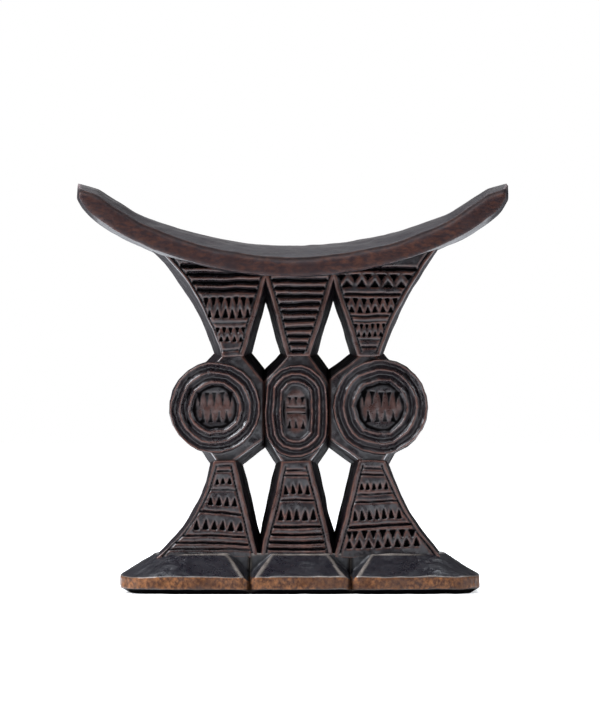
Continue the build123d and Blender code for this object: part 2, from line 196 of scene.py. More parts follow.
def cut_away(piece: Piece, cutter: Piece) -> None:
    """Cuts a cutter's shape out of a piece and throws the cutter away."""
    modified(piece, "BOOLEAN", operation="DIFFERENCE", object=cutter, solver="EXACT", use_self=True,
             use_hole_tolerant=True)
    bpy.data.objects.remove(cutter)


def sliced(piece: Piece, point: Vector, outward: Vector) -> None:
    """Cuts a piece flat through a point and drops what lies outward of it."""
    with editing(piece):
        bpy.ops.mesh.bisect(plane_co=point, plane_no=outward, use_fill=True, clear_outer=True)


def block(low: Vector, high: Vector, name: str) -> Piece:
    """A cube between two corners, in metres."""
    bpy.ops.object.select_all(action="DESELECT")
    bpy.ops.mesh.primitive_cube_add(size=1, location=(low + high) / 2)
    piece = bpy.context.object
    piece.name = name
    piece.scale = high - low
    settle(piece)
    return piece


# ---- the carver's knives ---------------------------------------------------------------------------


class Knife:
    """Cuts of the chip carver, each modelled once at unit size and copied for every stroke."""

    def __init__(self, seed: int) -> None:
        """Forges the two blades.

        Args:
            seed: start of the hand's own irregularity.
        """
        self.hand = random.Random(seed)
        self.groove_blade = self._forge_groove()
        self.chip_blade = self._forge_chip()
        self.cuts: list[Piece] = []

    @staticmethod
    def _forge_groove() -> Piece:
        """A V-shaped bar one unit long, with its edge one unit deep."""
        bpy.ops.object.select_all(action="DESELECT")
        bpy.ops.mesh.primitive_cylinder_add(vertices=3, radius=1, depth=1)
        blade = bpy.context.object
        blade.name = "groove_blade"
        wide = math.cos(math.radians(30)) * 2
        blade.scale = (1.5 / wide, 1, 1)
        settle(blade)
        return blade

    @staticmethod
    def _forge_chip() -> Piece:
        """A three-sided chip: base on X at z 0, tip at z 1, and its deepest point under the base."""
        bpy.ops.object.select_all(action="DESELECT")
        bpy.ops.mesh.primitive_cone_add(vertices=3, radius1=1, depth=1, location=(0, 0, 0.5))
        blade = bpy.context.object
        blade.name = "chip_blade"
        wide = math.cos(math.radians(30)) * 2
        blade.matrix_world = Matrix.Rotation(math.radians(-90), 4, "X") @ blade.matrix_world
        settle(blade)
        blade.data.transform(Matrix.Rotation(math.pi, 4, "Y"))
        blade.data.transform(Matrix.Diagonal((1 / wide, 1, 1 / 1.5, 1)))
        blade.data.transform(Matrix.Translation((0, 0, 1 / 3)))
        with editing(blade, everything=False) as mesh:
            choose(mesh, lambda vertex: vertex.co.y > 0.5)
            bpy.ops.transform.translate(value=(0, 0, -0.14))
        return blade

    def sway(self, amount: float) -> float:
        """A small slip of the hand, at most this far either way."""
        return self.hand.uniform(-amount, amount)

    def groove(self, start: tuple[float, float], end: tuple[float, float], face: float, width: float,
               depth: float) -> None:
        """Cuts a V groove between two points on the front face.

        Args:
            start: x and z of its start.
            end: x and z of its end.
            face: y of the face.
            width: width at the face.
            depth: depth below the face.
        """
        run = Vector((end[0] - start[0], 0, end[1] - start[1]))
        middle = Vector(((start[0] + end[0]) / 2, face, (start[1] + end[1]) / 2))
        turn = Matrix.Rotation(math.atan2(run.x, run.z), 4, "Y")
        size = Matrix.Diagonal((width, depth, run.length, 1))
        self.cuts.append(copied(self.groove_blade, Matrix.Translation(middle) @ turn @ size))

    def chip(self, x: float, base: float, tip: float, face: float, width: float, depth: float,
             turn: float = 0.0, lift: float = 0.04) -> None:
        """Cuts a triangular chip out of the front face.

        Args:
            x: middle of its base.
            base: z of its base.
            tip: z of its tip.
            face: y of the face.
            width: width of its base.
            depth: depth under its base.
            turn: slope of its base, in radians.
            lift: how far the chip starts in front of the face, per depth.
        """
        size = Matrix.Diagonal((width * (1 + lift), depth * (1 + lift), (tip - base) * (1 + lift), 1))
        place = Matrix.Translation((x, face - depth * lift, base))
        self.cuts.append(copied(self.chip_blade, place @ Matrix.Rotation(-turn, 4, "Y") @ size))

    def cutter(self) -> Piece:
        """All the cuts made so far for the front face, with their mirror images for the back, in metres."""
        front = joined(self.cuts)
        self.cuts = []
        back = copied(front, Matrix.Scale(-1, 4, (0, 1, 0)))
        both = joined([front, back])
        both.scale = (MM, MM, MM)
        settle(both)
        with editing(both):
            bpy.ops.mesh.normals_make_consistent(inside=False)
        return both

    def put_away(self) -> None:
        """Removes the blades."""
        bpy.data.objects.remove(self.groove_blade)
        bpy.data.objects.remove(self.chip_blade)


# ---- finishes --------------------------------------------------------------------------------------


class Graph:
    """The node graph of a material or a world, with short ways to add and join nodes."""

    def __init__(self, owner: bpy.types.Material | bpy.types.World) -> None:
        """Empties the graph of a new material or world."""
        owner.use_nodes = True
        self.owner = owner
        self.tree = owner.node_tree
        self.tree.nodes.clear()

    def node(self, kind: str, inputs: dict[str | int, object] | None = None,
             **settings: object) -> bpy.types.Node:
        """Adds a node.

        Args:
            kind: its type.
            inputs: a value or an output socket for each of its input sockets.
            settings: values of its own properties.

        Returns:
            the node.
        """
        made = self.tree.nodes.new(kind)
        for name, value in settings.items():
            setattr(made, name, value)
        for socket, value in (inputs or {}).items():
            if isinstance(value, Socket):
                self.tree.links.new(value, made.inputs[socket])
            else:
                made.inputs[socket].default_value = value
        return made

    def noise(self, coordinates: Socket, scale: float, detail: float = 3.0,
              rough: float = 0.55) -> Socket:
        """A cloud pattern between 0 and 1."""
        inputs = {"Vector": coordinates, "Scale": scale, "Detail": detail, "Roughness": rough}
        return self.node("ShaderNodeTexNoise", inputs).outputs["Fac"]

    def stretched(self, coordinates: Socket,
                  scale: tuple[float, float, float]) -> Socket:
        """Coordinates scaled along each axis."""
        return self.node("ShaderNodeMapping", {"Vector": coordinates, "Scale": scale}).outputs[0]

    def ranged(self, value: Socket, low: float, high: float, to_low: float = 0.0,
               to_high: float = 1.0) -> Socket:
        """A value moved from one range to another, and held inside it."""
        inputs = {"Value": value, "From Min": low, "From Max": high, "To Min": to_low, "To Max": to_high}
        return self.node("ShaderNodeMapRange", inputs).outputs[0]

    def maths(self, operation: str, first: object, second: object) -> Socket:
        """Two values combined, and held between 0 and 1."""
        inputs = {0: first, 1: second}
        return self.node("ShaderNodeMath", inputs, operation=operation, use_clamp=True).outputs[0]

    def scaled(self, value: Socket, factor: float) -> Socket:
        """A value times a factor, free to pass 1."""
        return self.node("ShaderNodeMath", {0: value, 1: factor}, operation="MULTIPLY").outputs[0]

    def blended(self, share: object, first: object, second: object) -> Socket:
        """A blend of two plain values."""
        return self.node("ShaderNodeMix", {0: share, 2: first, 3: second}, data_type="FLOAT").outputs[0]

    def mixed(self, share: object, first: object, second: object) -> Socket:
        """A blend of two colours."""
        node = self.node("ShaderNodeMix", data_type="RGBA")
        for socket, value in ((node.inputs[0], share), (node.inputs[6], first), (node.inputs[7], second)):
            if isinstance(value, Socket):
                self.tree.links.new(value, socket)
            else:
                socket.default_value = (*value, 1.0) if isinstance(value, tuple) else value
        return node.outputs[2]

    def straight_behind(self, place: Socket, narrowing: float) -> Socket:
        """How far a place lies straight behind the object: its Y less a multiple of its distance aside."""
        along = self.node("ShaderNodeSeparateXYZ", {0: place}).outputs
        aside = self.node("ShaderNodeMath", {0: along["X"]}, operation="ABSOLUTE").outputs[0]
        inputs = {0: along["Y"], 1: self.scaled(aside, narrowing)}
        return self.node("ShaderNodeMath", inputs, operation="SUBTRACT").outputs[0]

    def attribute(self, name: str) -> Socket:
        """A piece's own painted value."""
        return self.node("ShaderNodeAttribute", attribute_name=name).outputs["Fac"]


@dataclass(frozen=True)
class Patina:
    """Dark hardwood, blackened and waxed by use, rubbed to red brown on its ridges and bare on its rims, with
    painted shade black in its hollows; the rest and the foot get a pale ridge colour that is partly wear and
    partly a painted highlight.
    """

    name: str
    dark: tuple[float, float, float] = (0.0046, 0.0040, 0.0058)
    brown: tuple[float, float, float] = (0.0135, 0.0080, 0.0090)
    # Ridge colour: red brown wear on the carving; the pale one given to the rest and the foot is partly wear
    # and partly a painted highlight on their edges.
    wear_and_highlight: tuple[float, float, float] = (0.088, 0.034, 0.023)
    bare: tuple[float, float, float] = (0.020, 0.0105, 0.0105)
    bare_light: tuple[float, float, float] = (0.043, 0.022, 0.019)
    # Near black painted into the hollows as painted shade.
    painted_shade_colour: tuple[float, float, float] = (0.0006, 0.0005, 0.0006)
    gloss: float = 0.27
    bare_gloss: float = 0.50
    streaks: tuple[float, float, float] = (1300.0, 1300.0, 170.0)
    wear: float = 1.0
    sheen: float = 0.5
    mottle: float = 0.07
    lumps: float = 0.55

    def material(self) -> bpy.types.Material:
        """Builds the material.

        Returns:
            the material, ready to be given to a piece that has its ridge, bare and dull values and its
            painted shade value.
        """
        graph = Graph(bpy.data.materials.new(self.name))
        place = graph.node("ShaderNodeTexCoord").outputs["Object"]
        patches = graph.noise(place, 85.0, 4.0)
        strokes = graph.noise(graph.stretched(place, (240.0, 240.0, 150.0)), 1.0, 2.0, 0.45)
        spots = graph.noise(place, 420.0, 3.0)
        dust = graph.noise(place, 1900.0, 2.0)
        grain = graph.noise(graph.stretched(place, self.streaks), 1.0, 3.0, 0.6)
        pores = graph.noise(graph.stretched(place, tuple(2.6 * s for s in self.streaks)), 1.0, 2.0, 0.5)
        ridge = graph.attribute("ridge")
        painted_shade = graph.attribute("painted_shade")
        bare = graph.attribute("bare")
        dull = graph.attribute("dull")

        rubbed = graph.ranged(patches, 0.30, 0.66, 0.45, 1.25)
        rubbed = graph.scaled(rubbed, self.wear)
        spotted = graph.ranged(spots, 0.30, 0.70, 0.55, 1.1)
        # Share of the ridge colour: wear, and where that colour is pale, partly a painted highlight.
        wear_and_highlight_share = graph.maths("MULTIPLY", graph.maths("MULTIPLY", ridge, rubbed), spotted)
        body = graph.mixed(graph.ranged(grain, 0.35, 0.70), self.dark, self.brown)
        body = graph.mixed(wear_and_highlight_share, body, self.wear_and_highlight)
        raw = graph.mixed(graph.ranged(grain, 0.38, 0.72), self.bare, self.bare_light)
        raw = graph.mixed(graph.ranged(patches, 0.42, 0.62, 0.0, 0.7), raw, self.bare)
        raw = graph.mixed(graph.ranged(spots, 0.52, 0.80, 0.0, 0.75), raw, self.brown)
        ragged = graph.node("ShaderNodeMath", {0: bare, 1: graph.ranged(spots, 0.2, 0.8, -0.16, 0.16)},
                            operation="ADD").outputs[0]
        body = graph.mixed(graph.ranged(ragged, 0.38, 0.62), body, raw)
        # Painted shade: the hollows are painted near black.
        body = graph.mixed(graph.maths("MULTIPLY", painted_shade, 0.97), body, self.painted_shade_colour)

        rough = graph.ranged(patches, 0.34, 0.64, self.gloss - self.mottle, self.gloss + self.mottle)
        rough = graph.blended(graph.ranged(spots, 0.30, 0.72, 0.0, 0.35), rough, self.gloss + 0.2)
        rough = graph.blended(graph.ranged(dust, 0.50, 0.75, 0.0, 0.4), rough, 0.6)
        rough = graph.blended(bare, rough, self.bare_gloss)
        rough = graph.blended(graph.maths("MAXIMUM", painted_shade, graph.maths("MULTIPLY", dull, 0.6)), rough, 0.85)
        shine = graph.blended(bare, self.sheen, self.sheen * 0.5)
        shine = graph.blended(dull, shine, 0.08)
        # Painted shade also dims the reflections in the hollows.
        shine = graph.blended(graph.ranged(painted_shade, 0.25, 0.85), shine, 0.02)

        fine = graph.blended(0.35, grain, pores)
        fine = graph.blended(0.30, fine, spots)
        fine = graph.blended(0.35, fine, dust)
        lumps = graph.node("ShaderNodeBump", {"Height": strokes, "Strength": self.lumps, "Distance": 0.0014})
        bump = graph.node("ShaderNodeBump", {"Height": fine, "Strength": 0.45, "Distance": 0.00020,
                                             "Normal": lumps.outputs[0]})
        shader = graph.node("ShaderNodeBsdfPrincipled", {
            "Base Color": body, "Roughness": rough, "Normal": bump.outputs[0], "IOR": 1.5,
            "Specular IOR Level": shine})
        graph.node("ShaderNodeOutputMaterial", {"Surface": shader.outputs[0]})
        return graph.owner


# ---- finishing a member ----------------------------------------------------------------------------


class Relief:
    """Reads how far each point of a mesh stands out of, or lies below, its surroundings."""

    def __init__(self, mesh: bpy.types.Mesh) -> None:
        """Reads the mesh's points, normals and edges."""
        count = len(mesh.vertices)
        self.points = np.empty(count * 3)
        mesh.vertices.foreach_get("co", self.points)
        self.points = self.points.reshape(-1, 3)
        self.normals = np.empty(count * 3)
        mesh.vertices.foreach_get("normal", self.normals)
        self.normals = self.normals.reshape(-1, 3)
        edges = np.empty(len(mesh.edges) * 2, dtype=np.int64)
        mesh.edges.foreach_get("vertices", edges)
        self.starts, self.ends = edges.reshape(-1, 2).T
        self.degree = np.bincount(self.starts, minlength=count) + np.bincount(self.ends, minlength=count)

    def spread(self, values: np.ndarray, rounds: int) -> np.ndarray:
        """Averages a value over its neighbours.

        Args:
            values: one value for each point.
            rounds: how many times.

        Returns:
            the averaged values.
        """
        count = len(self.degree)
        for _ in range(rounds):
            total = np.bincount(self.starts, values[self.ends], count)
            total += np.bincount(self.ends, values[self.starts], count)
            values = (values + total / self.degree) / 2
        return values

    def standing(self, rounds: int) -> np.ndarray:
        """How far each point stands out of its surroundings, in metres."""
        calm = np.stack([self.spread(self.points[:, axis].copy(), rounds) for axis in range(3)], axis=1)
        return ((self.points - calm) * self.normals).sum(axis=1)


def paint(piece: Piece, name: str, values: np.ndarray) -> None:
    """Gives a piece one value for each point, between 0 and 1."""
    layer = piece.data.attributes.new(name, "FLOAT", "POINT")
    layer.data.foreach_set("value", np.clip(values, 0.0, 1.0).astype(np.float32))


def wobble(piece: Piece, cell: float, strength: float, direction: str) -> None:
    """Lets a surface waver as hand work does.

    Args:
        piece: the piece.
        cell: size of the wavering, in metres.
        strength: its full swing, in metres.
        direction: how the modifier pushes, NORMAL or RGB_TO_XYZ.
    """
    name = f"wobble_{cell}"
    pattern = bpy.data.textures.get(name) or bpy.data.textures.new(name, "CLOUDS")
    pattern.noise_scale = cell
    pattern.noise_depth = 1
    pattern.cloud_type = "COLOR"
    modified(piece, "DISPLACE", texture=pattern, texture_coords="LOCAL", direction=direction,
             strength=strength, mid_level=0.5)


@dataclass
class Member:
    """A carved member: what every one of them shares."""

    node: str
    slot: str
    finish: bpy.types.Material
    voxel: float = 0.30
    ease: Ease = Ease.CRISP
    waver: float = 0.9
    gloom: float = 0.75
    creases: float = 0.32
    wall_front: float = 15.6
    rub: float = 0.3

    def model(self) -> Piece:
        """Models the member's shape. Each kind of member has its own way."""
        raise NotImplementedError

    def bare_parts(self, relief: Relief) -> np.ndarray:
        """Where the member is rubbed bare, from 0 to 1 for each point."""
        return np.zeros(len(relief.degree))

    def gloom_at(self, relief: Relief) -> np.ndarray | float:
        """How strongly painted shade blackens the member's hollows."""
        return self.gloom

    def painted_shade_parts(self, relief: Relief) -> np.ndarray | float:
        """Where painted shade blackens the member besides its hollows."""
        return 0.0

    def dull_parts(self, relief: Relief) -> np.ndarray:
        """Where the wax was never rubbed up: the side walls, behind their front edges."""
        wall = np.clip((0.82 - np.abs(relief.normals[:, 1])) * 5, 0, 1)
        return wall * np.clip(self.wall_front - np.abs(relief.points[:, 1]) / MM, 0, 1)

    def rubbed_parts(self, relief: Relief) -> np.ndarray | float:
        """Where the member is light besides its ridges: wear, and on the foot partly a painted highlight."""
        return 0.0

    def build(self) -> Piece:
        """Models, eases and dresses the member.

        Returns:
            the finished piece.
        """
        piece = self.model()
        piece.name = f"{self.node}_wood"
        piece.data.name = piece.name
        modified(piece, "REMESH", mode="VOXEL", voxel_size=self.voxel * MM)
        modified(piece, "SMOOTH", factor=0.5, iterations=self.ease.value)
        wobble(piece, 0.011, self.waver * MM, "RGB_TO_XYZ")
        wobble(piece, 0.0022, 0.00016, "NORMAL")
        self.dress(piece)
        return piece

    def dress(self, piece: Piece) -> None:
        """Paints the piece's wear, which on the rest and the foot is partly a painted highlight, and its
        painted shade, gives it its wood and hands it to the frame.
        """
        relief = Relief(piece.data)
        fine = (CRISP_VOXEL / self.voxel) ** 2
        near = relief.standing(round(NEAR_ROUNDS * fine)) / (NEAR_HEIGHT * MM)
        far = relief.standing(round(FAR_ROUNDS * fine)) / (FAR_HEIGHT * MM)
        rubbed = self.rubbed_parts(relief) * np.clip(1.2 + 2.5 * (near * 0.5 + far), 0, 1)
        ridge = np.maximum(np.clip(near * 0.8 + far * 0.2 - self.rub, 0, 1), rubbed)
        paint(piece, "ridge", relief.spread(ridge, 1))
        # Painted shade: the hollows, and the parts each member marks, get a value that the material paints
        # near black.
        hollow = -near * self.creases - far * self.gloom_at(relief) - 0.15
        hollow = np.clip(hollow, 0, 1) + self.painted_shade_parts(relief)
        paint(piece, "painted_shade", relief.spread(hollow, 1))
        paint(piece, "bare", self.bare_parts(relief))
        paint(piece, "dull", self.dull_parts(relief))
        piece.data.materials.clear()
        piece.data.materials.append(self.finish)
        pick(piece)
        bpy.ops.object.shade_smooth()
        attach(piece, "root")
        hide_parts(self.node)
        LOG.info("%s: %d faces", piece.name, len(piece.data.polygons))



# ---- panels ----------------------------------------------------------------------------------------


@dataclass
class CarvedPanel(Member):
    """A panel between a waist and the rest above it or the foot below it. Sizes are in millimetres."""

    left: Side = field(default_factory=lambda: Side(-10, -20))
    right: Side = field(default_factory=lambda: Side(10, 20))
    rows: tuple[Row, ...] = ()
    neck: float = 80.5
    end: float = 115.0
    half_depth: float = 17.0
    overlap_neck: float = 1.4
    overlap_end: float = 1.5
    border: float = 1.25
    border_groove: float = 1.0
    border_depth: float = 0.9
    chip_depth: float = 1.5
    rub: float = 0.46
    seed: int = 1

    def at(self, side: Side, z: float, lean: bool = False) -> float:
        """X of a side at a height, at mid depth or on the face."""
        share = (z - self.neck) / (self.end - self.neck)
        inward = 1 if side is self.left else -1
        x = side.neck_x + (side.end_x - side.neck_x) * share + side.hollow * 4 * share * (1 - share) * inward
        if lean:
            x += inward * (side.neck_lean + (side.end_lean - side.neck_lean) * share)
        return x

    def model(self) -> Piece:
        """Cuts the blank to its leaning sides, hollows them and carves both faces."""
        upward = 1 if self.end > self.neck else -1
        z_neck = self.neck - upward * self.overlap_neck
        z_end = self.end + upward * self.overlap_end
        reach = 6
        low = Vector((min(self.left.neck_x, self.left.end_x) - reach, -self.half_depth, min(z_neck, z_end)))
        high = Vector((max(self.right.neck_x, self.right.end_x) + reach, self.half_depth, max(z_neck, z_end)))
        piece = block(low * MM, high * MM, self.node)
        for side, sign in ((self.left, -1), (self.right, 1)):
            for face in (-1, 1):
                self._lean(piece, side, sign, face)
            if side.hollow:
                cut_away(piece, self._hollow(side, sign))
        if upward > 0:
            self._slant_top(piece)
        knife = Knife(self.seed)
        self._cut_borders(knife)
        for row in self.rows:
            self._cut_row(knife, row)
        cut_away(piece, knife.cutter())
        knife.put_away()
        return piece

    def _slant_top(self, piece: Piece) -> None:
        """Slices the top just inside the rest, along its underside."""
        ends = []
        for side in (self.left, self.right):
            sag = REST_RADIUS - math.sqrt(REST_RADIUS**2 - side.end_x**2)
            ends.append(Vector((side.end_x, 0, REST_UNDERSIDE + sag + self.overlap_end)))
        run = ends[1] - ends[0]
        sliced(piece, ends[0] * MM, Vector((-run.z, 0, run.x)).normalized())

    def _lean(self, piece: Piece, side: Side, sign: int, face: int) -> None:
        """Slices one leaning half of a side, in front of or behind mid depth."""
        neck = Vector((side.neck_x, 0, self.neck))
        end = Vector((side.end_x, 0, self.end))
        neck_face = Vector((side.neck_x - sign * side.neck_lean, face * self.half_depth, self.neck))
        outward = (end - neck).cross(neck_face - neck).normalized()
        if outward.x * sign < 0:
            outward = -outward
        sliced(piece, neck * MM, outward)

    def _hollow(self, side: Side, sign: int) -> Piece:
        """A waisted roller that hollows a side, narrowest at mid depth."""
        neck = Vector((side.neck_x, 0, self.neck))
        end = Vector((side.end_x, 0, self.end))
        chord = end - neck
        radius = chord.length**2 / (8 * side.hollow) + side.hollow / 2
        outward = Vector((chord.z, 0, -chord.x)).normalized()
        if outward.x * sign < 0:
            outward = -outward
        centre = (neck + end) / 2 + outward * (radius - side.hollow)
        deep = self.half_depth * 1.3
        grow = 1 + (side.neck_lean + side.end_lean) / 2 * 1.3 / radius
        bpy.ops.object.select_all(action="DESELECT")
        bpy.ops.mesh.primitive_cylinder_add(vertices=96, radius=radius * MM, depth=2 * deep * MM,
                                            location=centre * MM, rotation=(math.radians(90), 0, 0))
        roller = bpy.context.object
        settle(roller)
        with editing(roller) as mesh:
            bpy.ops.mesh.bisect(plane_co=(0, 0, 0), plane_no=(0, 1, 0))
            choose(mesh, lambda vertex: abs(vertex.co.y) > deep * MM / 2)
            bpy.ops.transform.resize(value=(grow, 1, grow), center_override=centre * MM)
        return roller

    def _cut_borders(self, knife: Knife) -> None:
        """Leaves a raised border along both sides, in short straight strokes."""
        steps = 4
        for side, sign in ((self.left, 1), (self.right, -1)):
            offset = sign * (self.border + self.border_groove / 2)
            for step in range(steps):
                z0 = self.neck + (self.end - self.neck) * step / steps
                z1 = self.neck + (self.end - self.neck) * (step + 1.12) / steps
                start = (self.at(side, z0, lean=True) + offset + knife.sway(0.08), z0)
                finish = (self.at(side, z1, lean=True) + offset + knife.sway(0.08), z1)
                knife.groove(start, finish, -self.half_depth, self.border_groove, self.border_depth)

    def _field(self, z: float) -> tuple[float, float]:
        """Left and right ends of a row at a height."""
        margin = self.border + self.border_groove * 0.75
        return self.at(self.left, z, lean=True) + margin, self.at(self.right, z, lean=True) - margin

    def _cut_row(self, knife: Knife, row: Row) -> None:
        """Carves one row."""
        middle = (row.low + row.high) / 2
        left, right = self._field(middle)
        rise = math.tan(math.radians(row.tilt))
        centre = (left + right) / 2
        if row.stroke is Stroke.GROOVE:
            start = (left, middle - rise * (centre - left) + knife.sway(0.15))
            finish = (right, middle + rise * (right - centre) + knife.sway(0.15))
            knife.groove(start, finish, -self.half_depth, row.high - row.low, row.depth)
            return
        pitch = (right - left) / row.count
        for index in range(row.count):
            x = left + pitch * (index + 0.5) + knife.sway(0.03 * pitch)
            lift = rise * (x - centre) + knife.sway(0.12)
            width = pitch * (0.93 + knife.sway(0.03))
            share = 0.93 if row.stroke is Stroke.TEETH else 0.62
            tall = (row.high - row.low) * (share + knife.sway(0.05))
            turn = math.radians(row.tilt) + knife.sway(0.05)
            knife.chip(x, row.low + lift, row.low + lift + tall, -self.half_depth, width,
                       row.depth * self.chip_depth, turn)
            if row.stroke is Stroke.ZIGZAG:
                self._cut_upper(knife, row, x - pitch / 2, pitch, lift, turn)
        if row.stroke is Stroke.ZIGZAG:
            self._cut_upper(knife, row, right, pitch, rise * (right - centre), 0.0)

    def _cut_upper(self, knife: Knife, row: Row, x: float, pitch: float, lift: float, turn: float) -> None:
        """The hanging chip of a zigzag row, between two standing ones."""
        left, right = self._field(row.high)
        x = min(max(x, left + pitch * 0.2), right - pitch * 0.2)
        tall = (row.high - row.low) * (0.62 + knife.sway(0.05))
        top = row.high + lift
        knife.chip(x, top, top - tall, -self.half_depth, pitch * 0.93, row.depth * self.chip_depth, turn)


# ---- discs -----------------------------------------------------------------------------------------


@dataclass
class RingedDisc(Member):
    """A disc of facetted rings on its plate. Sizes are in millimetres."""

    centre: tuple[float, float] = (0.0, 0.0)
    radius: float = 15.4
    stretch: float = 0.0
    facets: int = 24
    half_depth: float = 17.0
    plate_half_depth: float = 15.2
    rim_lean: float = 0.7
    plate_lean: float = 3.0
    ring_land: float = 0.25
    ring_slope: float = 1.55
    ring_depth: float = 1.6
    rings: int = 2
    hub_step: float = 1.1
    hub_depth: float = 1.3
    slip: float = 0.10
    notch_depth: float = 4.0
    hub_red: float = 0.6
    hub_half_height: float = 4.6
    gloom: float = 0.10
    creases: float = 0.16
    # Strength of the painted shade in the hub's notches.
    hub_gloom: float = 1.5
    wall_front: float = 13.8
    plate: tuple[tuple[float, float], ...] = ()
    rows: tuple[tuple[Stroke, float, float, int, float], ...] = ()
    seed: int = 1

    def model(self) -> Piece:
        """Turns the disc's rings, sets it on its plate and carves its hub."""
        disc = self._disc()
        plate = self._plate()
        knife = Knife(self.seed)
        for stroke, low, high, count, half_width in self.rows:
            self._cut_row(knife, stroke, low, high, count, half_width)
        cut_away(disc, knife.cutter())
        knife.put_away()
        return joined([disc, plate])

    def _disc(self) -> Piece:
        """A facetted drum, ringed by insets on both of its ends."""
        bpy.ops.object.select_all(action="DESELECT")
        bpy.ops.mesh.primitive_cylinder_add(
            vertices=self.facets, radius=self.radius * MM, depth=2 * self.half_depth * MM,
            rotation=(math.radians(90), math.radians(180 / self.facets), 0))
        disc = bpy.context.object
        settle(disc)
        disc.data.transform(Matrix.Translation(Vector((self.centre[0], 0, self.centre[1])) * MM))
        middle = self.centre[1] * MM
        with editing(disc, everything=False) as mesh:
            for sign in (-1, 1):
                choose(mesh, lambda vertex: (vertex.co.z - middle) * sign > 0.01 * MM)
                bpy.ops.transform.translate(value=(0, 0, sign * self.stretch * MM))
        with editing(disc, everything=False) as mesh:
            self._belly(mesh)
        for sign in (-1, 1):
            self._ring(disc, sign)
        return disc

    def _belly(self, mesh: bmesh.types.BMesh) -> None:
        """Adds a loop at mid depth and leans the rim in towards both faces."""
        choose(mesh, lambda vertex: True)
        bpy.ops.mesh.bisect(plane_co=(0, 0, 0), plane_no=(0, 1, 0))
        bpy.ops.mesh.select_all(action="DESELECT")
        choose(mesh, lambda vertex: abs(vertex.co.y) < 0.01 * MM)
        grow = 1 + self.rim_lean / self.radius
        centre = Vector((self.centre[0], 0, self.centre[1])) * MM
        bpy.ops.transform.resize(value=(grow, 1, grow), center_override=centre)

    def _ring(self, disc: Piece, sign: int) -> None:
        """Insets one end into rings, a V groove between each two, and a dished hub."""
        steps = [(self.ring_land, 0.0)]
        for _ in range(self.rings):
            steps += [(self.ring_slope, -self.ring_depth), (self.ring_slope, self.ring_depth * 0.93),
                      (self.ring_land, 0.0)]
        steps.append((self.hub_step, -self.hub_depth))
        with editing(disc, everything=False) as mesh:
            mesh.faces.ensure_lookup_table()
            bpy.ops.mesh.select_mode(type="FACE")
            for face in mesh.faces:
                face.select = face.normal.y * sign > 0.9 and len(face.verts) > 4
            mesh.select_flush_mode()
            for index, (width, rise) in enumerate(steps):
                bpy.ops.mesh.inset(thickness=width * MM, depth=rise * MM)
                bpy.ops.transform.vertex_random(offset=self.slip * MM, uniform=1.0, normal=0.0,
                                                seed=self.seed * 40 + index + (sign > 0) * 20)
                bpy.ops.transform.resize(value=(1, 0, 1))

    def _hub(self, relief: Relief, reach_z: float) -> np.ndarray:
        """1 inside the hub up to a height, and 0 outside it."""
        beyond = self.rings * (2 * self.ring_slope + self.ring_land) + self.hub_step
        reach_x = self.radius - beyond
        across = (relief.points[:, 0] / MM - self.centre[0]) / reach_x
        upward = (relief.points[:, 2] / MM - self.centre[1]) / reach_z
        facing = np.clip((np.abs(relief.normals[:, 1]) - 0.3) * 4, 0, 1)
        deep = np.abs(relief.points[:, 1]) > (self.half_depth - 7) * MM
        return np.clip((1.05 - np.hypot(across, upward)) * 6, 0, 1) * deep * facing

    def gloom_at(self, relief: Relief) -> np.ndarray:
        """Painted shade: the notches of the hub are painted black, and the rings' grooves are not."""
        inside = self._hub(relief, self.radius + self.stretch - 7.5)
        return self.gloom + (self.hub_gloom - self.gloom) * inside

    def rubbed_parts(self, relief: Relief) -> np.ndarray:
        """The lozenges in the hub are rubbed red."""
        return self._hub(relief, self.hub_half_height + self.stretch * 0.6) * self.hub_red

    def painted_shade_parts(self, relief: Relief) -> np.ndarray:
        """Painted shade: the seams between two plates are painted black."""
        dark = np.zeros(len(relief.degree))
        corners = zip(self.plate, self.plate[1:] + self.plate[:1])
        behind = np.abs(relief.points[:, 1]) / MM < self.plate_half_depth + 0.4
        for x in {first[0] for first, second in corners if first[0] == second[0]}:
            near = np.clip((1.2 - np.abs(relief.points[:, 0] / MM - x)) / 0.6, 0, 1)
            dark = np.maximum(dark, near * behind * 0.85)
        return dark

    def _plate(self) -> Piece:
        """The plate behind the disc: a block sliced to leaning sides between its corners."""
        xs = [x for x, _ in self.plate]
        zs = [z for _, z in self.plate]
        low = Vector((min(xs) - 2, -self.plate_half_depth, min(zs) - 2)) * MM
        high = Vector((max(xs) + 2, self.plate_half_depth, max(zs) + 2)) * MM
        plate = block(low, high, f"{self.node}_plate")
        count = len(self.plate)
        for index, (x, z) in enumerate(self.plate):
            next_x, next_z = self.plate[(index + 1) % count]
            along = Vector((next_x - x, 0, next_z - z))
            outward = Vector((along.z, 0, -along.x)).normalized()
            slanting = min(abs(outward.x), abs(outward.z)) > 0.2
            for face in (-1, 1):
                lean = self.plate_lean / self.plate_half_depth * face if slanting else 0.0
                sliced(plate, Vector((x, 0, z)) * MM, (outward + Vector((0, lean, 0))).normalized())
        return plate

    def _cut_row(self, knife: Knife, stroke: Stroke, low: float, high: float, count: int,
                 half_width: float) -> None:
        """Carves one row of the hub."""
        face = -self.half_depth + self.hub_depth + self.rings * self.ring_depth * 0.07
        left = self.centre[0] - half_width
        pitch = 2 * half_width / count
        if stroke is Stroke.GROOVE:
            z = self.centre[1] + (low + high) / 2
            knife.groove((left, z), (left + 2 * half_width, z), face, high - low, 1.4)
            return
        for index in range(count):
            x = left + pitch * (index + 0.5) + knife.sway(0.04)
            base = self.centre[1] + low + knife.sway(0.12)
            tip = self.centre[1] + high + knife.sway(0.2)
            knife.chip(x, base, tip, face, pitch * 0.84, self.notch_depth, knife.sway(0.04), lift=0.16)


# ---- neck rest -------------------------------------------------------------------------------------


